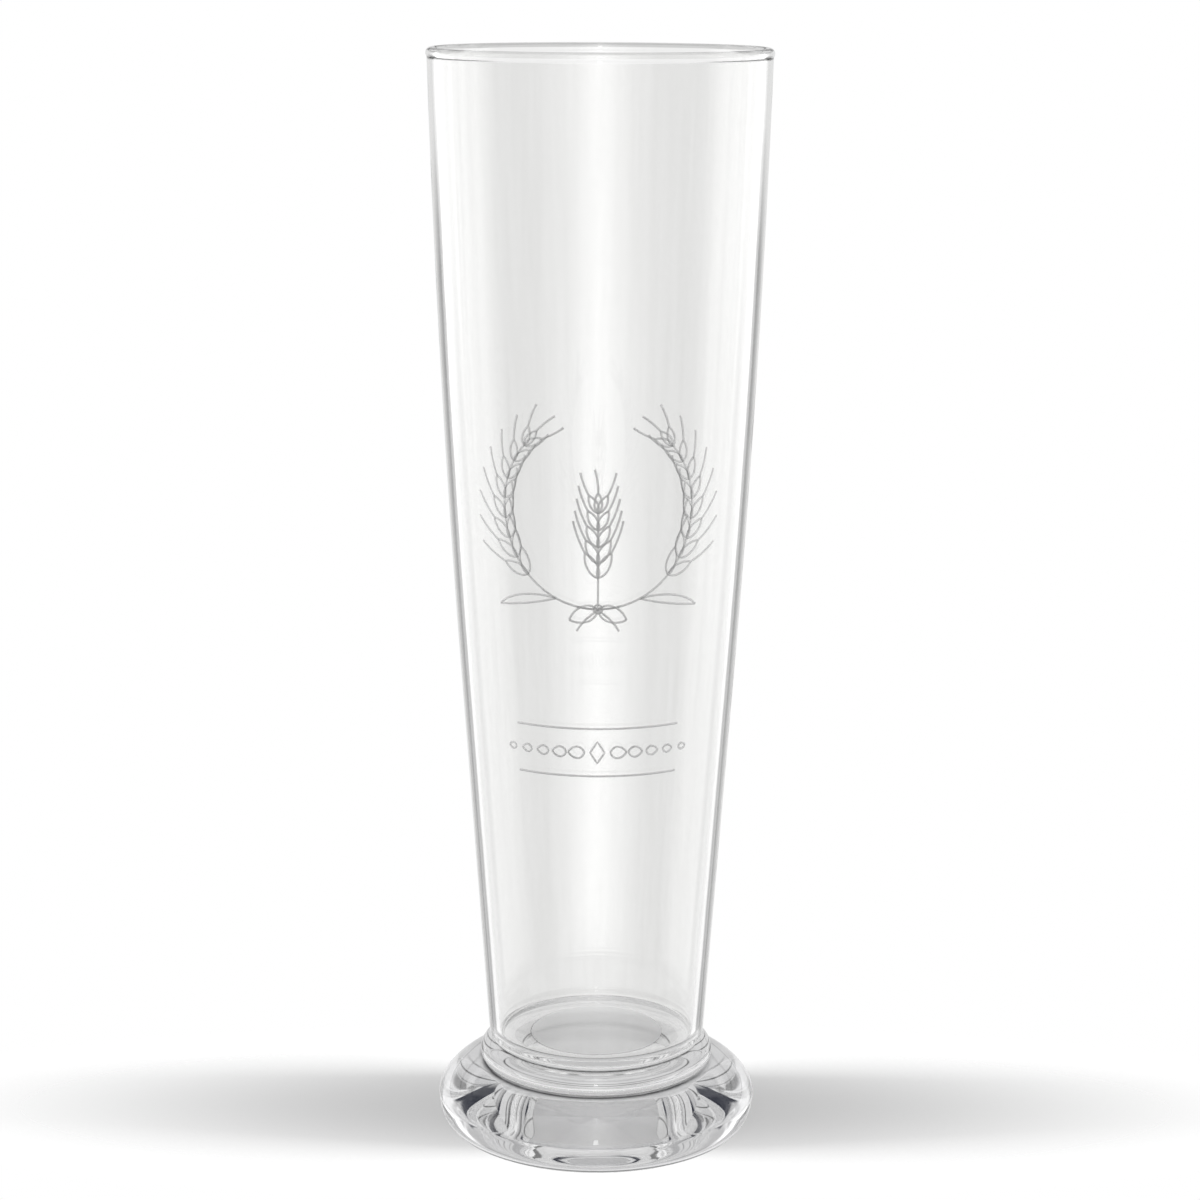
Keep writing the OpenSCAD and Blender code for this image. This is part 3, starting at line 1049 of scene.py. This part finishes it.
def below(nodes, rise, limit):
    """1 below an edge, and 0 above it."""
    return nodes.inverse(nodes.mapped(rise, limit))


def at_least(nodes, depth, times):
    """Whether a ray was bent, mirrored or scattered at least that many times."""
    return nodes.math("GREATER_THAN", depth, times - 0.5)


def studio_panels(nodes, around, rise):
    """The panels, the strip, the flags and the gaps of the studio."""
    low = tone_ramp(nodes, around, with_strip(STUDIO_LOW, STRIP_LOW))
    level = tone_ramp(nodes, around, with_strip(STUDIO_LEVEL, STRIP_LEVEL))
    studio = nodes.mixed(nodes.mapped(rise, LOW_EDGE), low, level)
    flag = nodes.math("MULTIPLY", tone_ramp(nodes, around, FLAG), below(nodes, rise, FLAG_EDGE))
    studio = nodes.mixed(flag, studio, grey(FLAG_LEVEL))
    studio = nodes.mixed(nodes.mapped(rise, HIGH_EDGE), studio, tone_ramp(nodes, around, STUDIO_HIGH))
    for *sides, gap_level in PANEL_GAPS:
        gap = band(nodes, rise, *(edge(side - GAP_BLUR, side + GAP_BLUR) for side in sides))
        gap = nodes.math("MULTIPLY", gap, tone_ramp(nodes, around, GAP_SIDE))
        studio = nodes.mixed(gap, studio, grey(gap_level))
    return studio


def studio_world(world, doorway):
    """White for the camera and straight through the glass, and the studio for mirrored rays."""
    world.use_nodes = True
    world.node_tree.nodes.clear()
    nodes = Nodes(world.node_tree)
    path = nodes.node("ShaderNodeLightPath").outputs
    bends, mirrors = path["Transmission Depth"], path["Glossy Depth"]
    toward = nodes.parts(nodes.node("ShaderNodeTexCoord").outputs["Generated"])
    bearing = nodes.math("ABSOLUTE", nodes.math("ARCTAN2", toward["X"], toward["Y"]))
    around = nodes.math("DIVIDE", bearing, math.pi)
    rise = nodes.math("ARCSINE", toward["Z"])
    one_piece = nodes.math("SUBTRACT", at_least(nodes, bends, 1), at_least(nodes, bends, 3))
    mirrored_ray = at_least(nodes, mirrors, 1)
    mirrored_twice = at_least(nodes, mirrors, 2)
    studio = studio_panels(nodes, around, rise)
    studio = nodes.mixed(mirrored_twice, studio, grey(DEEP_LIMIT), blend_type="DARKEN")
    key = nodes.math("GREATER_THAN", around, 1 - KEY_WIDTH / math.pi)
    key = nodes.math("MULTIPLY", key, band(nodes, rise, KEY_LOW, KEY_HIGH))
    key = nodes.math("MULTIPLY", key, nodes.inverse(mirrored_twice))
    studio = nodes.mixed(key, studio, grey(KEY_LEVEL))
    thick = nodes.math("MULTIPLY", one_piece, below(nodes, rise, THICK_EDGE))
    behind = nodes.mixed(thick, grey(1.0), grey(THICK_LEVEL))
    seen = nodes.mixed(mirrored_ray, behind, studio)
    under = nodes.math("MULTIPLY", below(nodes, rise, UNDER_EDGE), tone_ramp(nodes, around, UNDER_SIDE))
    under = nodes.math("MAXIMUM", under, below(nodes, rise, UNDER_STRIP_EDGE))
    in_glass = at_least(nodes, nodes.math("ADD", bends, mirrors), 1)
    under = nodes.math("MULTIPLY", in_glass, under)
    dim = nodes.math("MULTIPLY", one_piece, nodes.mapped(rise, STEEP_EDGE))
    dim = nodes.math("MAXIMUM", dim, mirrored_ray)
    seen = nodes.mixed(under, seen, nodes.mixed(dim, grey(UNDER_BOWL_LEVEL), grey(UNDER_LEVEL)))
    opening = band(nodes, rise, DOORWAY_LOW, DOORWAY_HIGH)
    opening = nodes.math("MULTIPLY", opening, tone_ramp(nodes, around, DOORWAY))
    seen = nodes.mixed(nodes.math("MULTIPLY", opening, mirrored_twice), seen, (*doorway, 1))
    light = nodes.mixed(at_least(nodes, path["Diffuse Depth"], 1), seen, grey(OPEN_LIGHT))
    background = nodes.node("ShaderNodeBackground", {"Color": light, "Strength": 1.0})
    nodes.node("ShaderNodeOutputWorld", {"Surface": background.outputs[0]})


# The stage
def stage_floor(sizes, colours):
    """The floor, which bent and mirrored rays don't meet."""
    half = sizes.floor_size / 2
    mesh = bpy.data.meshes.new("floor")
    corners = ((-half, -half), (half, -half), (half, half), (-half, half))
    mesh.from_pydata([(x, y, -sizes.floor_gap) for x, y in corners], [], [(0, 1, 2, 3)])
    mesh.materials.append(floor_material(colours, sizes))
    floor = placed("floor", mesh)
    floor.visible_glossy = False
    floor.visible_transmission = False
    return floor


def stage_lamp(name, side, sizes):
    """A side lamp that is aimed at the foot and not seen itself."""
    data = bpy.data.lights.new(name, "AREA")
    data.size = sizes.lamp_size
    data.energy = sizes.lamp_power
    lamp = placed(name, data)
    lamp.location = (side * sizes.lamp_distance, sizes.lamp_back, sizes.lamp_height)
    aim = Vector((0, 0, 0)) - lamp.location
    lamp.rotation_euler = aim.to_track_quat("-Z", "Y").to_euler()
    lamp.visible_camera = False
    lamp.visible_glossy = False
    lamp.visible_transmission = False


def stage_camera(sizes):
    """The camera in front of the glass, tilted down on it."""
    camera = placed("camera", bpy.data.cameras.new("camera"))
    camera.data.lens = sizes.lens
    camera.data.clip_start = CLIP_START
    pitch = Matrix.Rotation(math.pi / 2 - sizes.camera_pitch, 4, "X")
    camera.rotation_euler = (pitch @ Matrix.Rotation(sizes.camera_roll, 4, "Z")).to_euler()
    camera.location = (sizes.camera_side, -sizes.camera_distance, sizes.camera_height)
    return camera


# The steps that build the glass
def bowl_shade_line(sizes):
    """The painted shade line along the weld of bowl and collar: its radius, height, width and wander."""
    return BowlWall(sizes).weld_radius + sizes.shade_line_out, sizes.weld_height, sizes.shade_line_width, 0.0


def foot_shade_line(sizes):
    """The painted shade line along the weld of collar and foot: its radius, height, width and wander."""
    return sizes.foot_weld_radius + sizes.shade_line_out, sizes.foot_height, sizes.shade_line_width, sizes.shade_line_wander


def bowl_weld(sizes):
    """The weld of bowl and collar: its height and radius."""
    return sizes.weld_height, BowlWall(sizes).weld_radius + WELD_DISTANCE


def foot_weld(sizes):
    """The weld of collar and foot: its height and radius."""
    return sizes.foot_height, sizes.foot_weld_radius + WELD_DISTANCE


class GLASS_OT_bowl(bpy.types.Operator):
    """Turn the blown bowl"""

    bl_idname = "glass.bowl"
    bl_label = "Bowl"

    def execute(self, context):
        sizes, lathe = context.scene.glass_bowl, context.scene.glass_lathe
        colours = context.scene.glass_colours
        radius, height = floor_curve(sizes, lathe)[-1]
        # The matt flat of the floor, tinted darker as painted shade
        disc = {
            "Matt Shade Tint": (*colours.bowl_floor_shade, 1),
            "Matt Roughness": sizes.floor_matt,
            "Radius": radius,
            "Height": height,
        }
        tints = (colours.bowl, colours.bowl_streak)
        skin = (sizes.streaks, sizes.waves, sizes.wave_depth)
        # Painted shade lines along the weld and round the flat of the floor
        shade_lines = (bowl_shade_line(sizes), (radius, height, sizes.floor_shade_line, 0.0))
        glass = glass_material("bowl_glass", tints, skin, shade_lines, disc)
        welds = (bowl_weld(sizes), NO_WELD)
        piece = turned_piece("blown_bowl", bowl_profile(sizes, lathe), glass, welds)
        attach(piece, "root")
        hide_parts("bowl")
        return {"FINISHED"}


class GLASS_OT_collar(bpy.types.Operator):
    """Turn the collar"""

    bl_idname = "glass.collar"
    bl_label = "Collar"

    def execute(self, context):
        scene = context.scene
        bowl, sizes, colours = scene.glass_bowl, scene.glass_foot, scene.glass_colours
        tints = (colours.collar, colours.collar_streak)
        skin = (sizes.collar_streaks, sizes.collar_waves, sizes.collar_wave_depth)
        # Painted shade lines along both welds
        glass = glass_material("collar_glass", tints, skin, (foot_shade_line(sizes), bowl_shade_line(bowl)))
        welds = (foot_weld(sizes), bowl_weld(bowl))
        piece = turned_piece("beaded_collar", collar_profile(bowl, sizes, scene.glass_lathe), glass, welds)
        piece.visible_shadow = False
        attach(piece, "root")
        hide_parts("collar")
        return {"FINISHED"}


class GLASS_OT_foot(bpy.types.Operator):
    """Press the foot"""

    bl_idname = "glass.foot"
    bl_label = "Foot"

    def execute(self, context):
        scene = context.scene
        sizes, colours = scene.glass_foot, scene.glass_colours
        tints = (colours.foot, colours.foot_streak)
        skin = (sizes.streaks, sizes.waves, sizes.wave_depth)
        # Painted shade along the weld, and a painted shadow line round the foot's lower edge
        shade_line_place = foot_edge(sizes, EDGE_SHADE_STEPS)[1]
        shade_lines = (foot_shade_line(sizes), (*shade_line_place, sizes.edge_shade_line, 0.0))
        glass = glass_material("foot_glass", tints, skin, shade_lines)
        ripples = {
            "Ripple Depth": sizes.ripple_depth,
            "Ripple Radius": sizes.hollow_radius,
            "Ripple Height": sizes.hollow_depth + sizes.ripple_depth,
            "Ripple Scale": sizes.ripple_scale,
        }
        welds = (NO_WELD, foot_weld(sizes))
        piece = turned_piece("pressed_foot", foot_profile(sizes, scene.glass_lathe), glass, welds, ripples)
        piece.visible_shadow = False
        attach(piece, "root")
        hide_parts("foot")
        return {"FINISHED"}


class GLASS_OT_engraving(bpy.types.Operator):
    """Engrave the wheat wreath and its border into the bowl"""

    bl_idname = "glass.engraving"
    bl_label = "Engraving"

    def execute(self, context):
        sizes = context.scene.glass_engraving
        wall = BowlWall(context.scene.glass_bowl)
        values = {
            "Wreath Height": sizes.wreath_height,
            "Across": sizes.wreath_across,
            "Rise": sizes.wreath_rise,
            "Grains": sizes.grains,
            "Grain Length": sizes.grain_length,
            "Grain Width": sizes.grain_width,
            "Border Height": sizes.border_height,
            "Border Across": sizes.border_across,
            "Line Width": sizes.line_width,
            "Line Depth": sizes.line_depth,
            "Clearance": sizes.clearance,
            "Taper": math.tan(wall.lower_lean),
            "Taper Radius": wall.taper(0.0),
            "Bend Height": wall.bend_start[1],
            "Bend Radius": wall.bend_radius,
            "Bend Centre Radius": wall.bend_centre[0],
            "Bend Centre Height": wall.bend_centre[1],
            "Reference Radius": wall.outer(sizes.wreath_height),
            "Frost": frost_material(context.scene.glass_colours),
        }
        base = bpy.data.meshes.new("engraving_base")
        piece = finished_piece("wheat_engraving", engraving_tree("Engraving"), base, values)
        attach(piece, "root")
        return {"FINISHED"}


class GLASS_OT_stage(bpy.types.Operator):
    """Set up the floor, the light and the camera"""

    bl_idname = "glass.stage"
    bl_label = "Stage"

    def execute(self, context):
        scene = context.scene
        sizes, colours = scene.glass_stage, scene.glass_colours
        floor = stage_floor(sizes, colours)
        stage_lamp("lamp_left", -1, sizes)
        stage_lamp("lamp_right", 1, sizes)
        scene.world = bpy.data.worlds.new("studio")
        studio_world(scene.world, colours.doorway)
        scene.camera = stage_camera(sizes)
        scene.view_settings.view_transform = "Standard"
        for setting, bounces in BOUNCES.items():
            setattr(scene.cycles, setting, bounces)
        return {"FINISHED"}


class GLASS_PT_panel(bpy.types.Panel):
    """Lists the steps that build the glass"""

    bl_idname = "GLASS_PT_panel"
    bl_label = "Wheat Beer Glass"
    bl_space_type = "VIEW_3D"
    bl_region_type = "UI"
    bl_category = "Glass"

    def draw(self, context):
        for step in STEPS:
            self.layout.operator(step.bl_idname)


STEPS = (GLASS_OT_bowl, GLASS_OT_collar, GLASS_OT_foot, GLASS_OT_engraving, GLASS_OT_stage)
GROUPS = {
    "glass_colours": GlassColours,
    "glass_bowl": BowlSizes,
    "glass_foot": FootSizes,
    "glass_engraving": EngravingSizes,
    "glass_lathe": LatheSizes,
    "glass_stage": StageSizes,
}


def register():
    for name, group in GROUPS.items():
        bpy.utils.register_class(group)
        setattr(bpy.types.Scene, name, PointerProperty(type=group))
    for kind in (*STEPS, GLASS_PT_panel):
        bpy.utils.register_class(kind)


def unregister():
    for kind in (GLASS_PT_panel, *reversed(STEPS)):
        bpy.utils.unregister_class(kind)
    for name, group in GROUPS.items():
        delattr(bpy.types.Scene, name)
        bpy.utils.unregister_class(group)


def main():
    """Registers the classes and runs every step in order."""
    register()
    bpy.ops.glass.bowl()
    bpy.ops.glass.collar()
    bpy.ops.glass.foot()
    bpy.ops.glass.engraving()
    bpy.ops.glass.stage()


if __name__ == "__main__":
    main()
